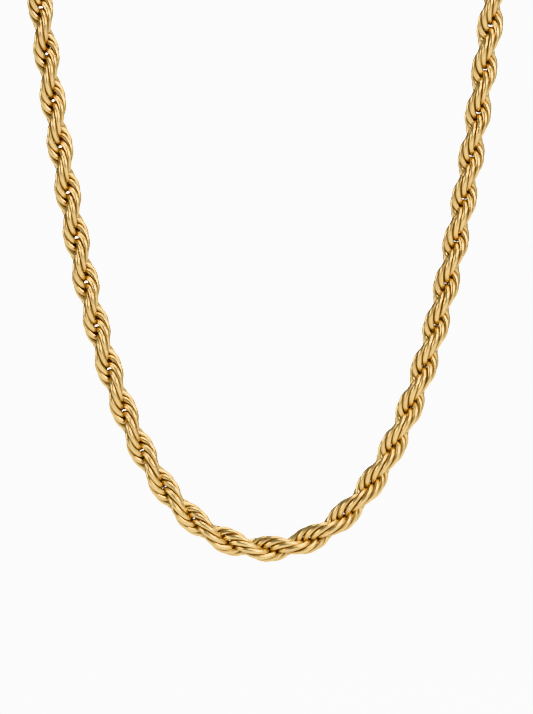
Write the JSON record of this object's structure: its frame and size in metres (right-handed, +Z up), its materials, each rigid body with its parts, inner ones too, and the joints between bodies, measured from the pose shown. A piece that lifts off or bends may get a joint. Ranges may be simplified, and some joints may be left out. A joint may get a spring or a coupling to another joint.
{
  "type": "rope chain necklace",
  "caption": "Gold-coloured rope chain necklace of twisted round-wire links, held in its worn form with a U-shaped front drop and a plain barrel clasp at the nape.",
  "frame": {"origin": "on the neck's axis, level with the nape, where the chain rests on the neck", "axes": "+Z up, -Y to the front, where the chain's drop hangs in an upright plane, +X to the right as seen from the front"},
  "size_m": [0.1198, 0.0998, 0.1718],
  "materials": {
    "gold_links": "polished yellow gold colour",
    "gold_clasp": "polished yellow gold colour"
  },
  "bodies": {
    "root": {"front_chain": "gold_links", "back_chain": "gold_links", "clasp": "gold_clasp"}
  },
  "joints": []
}
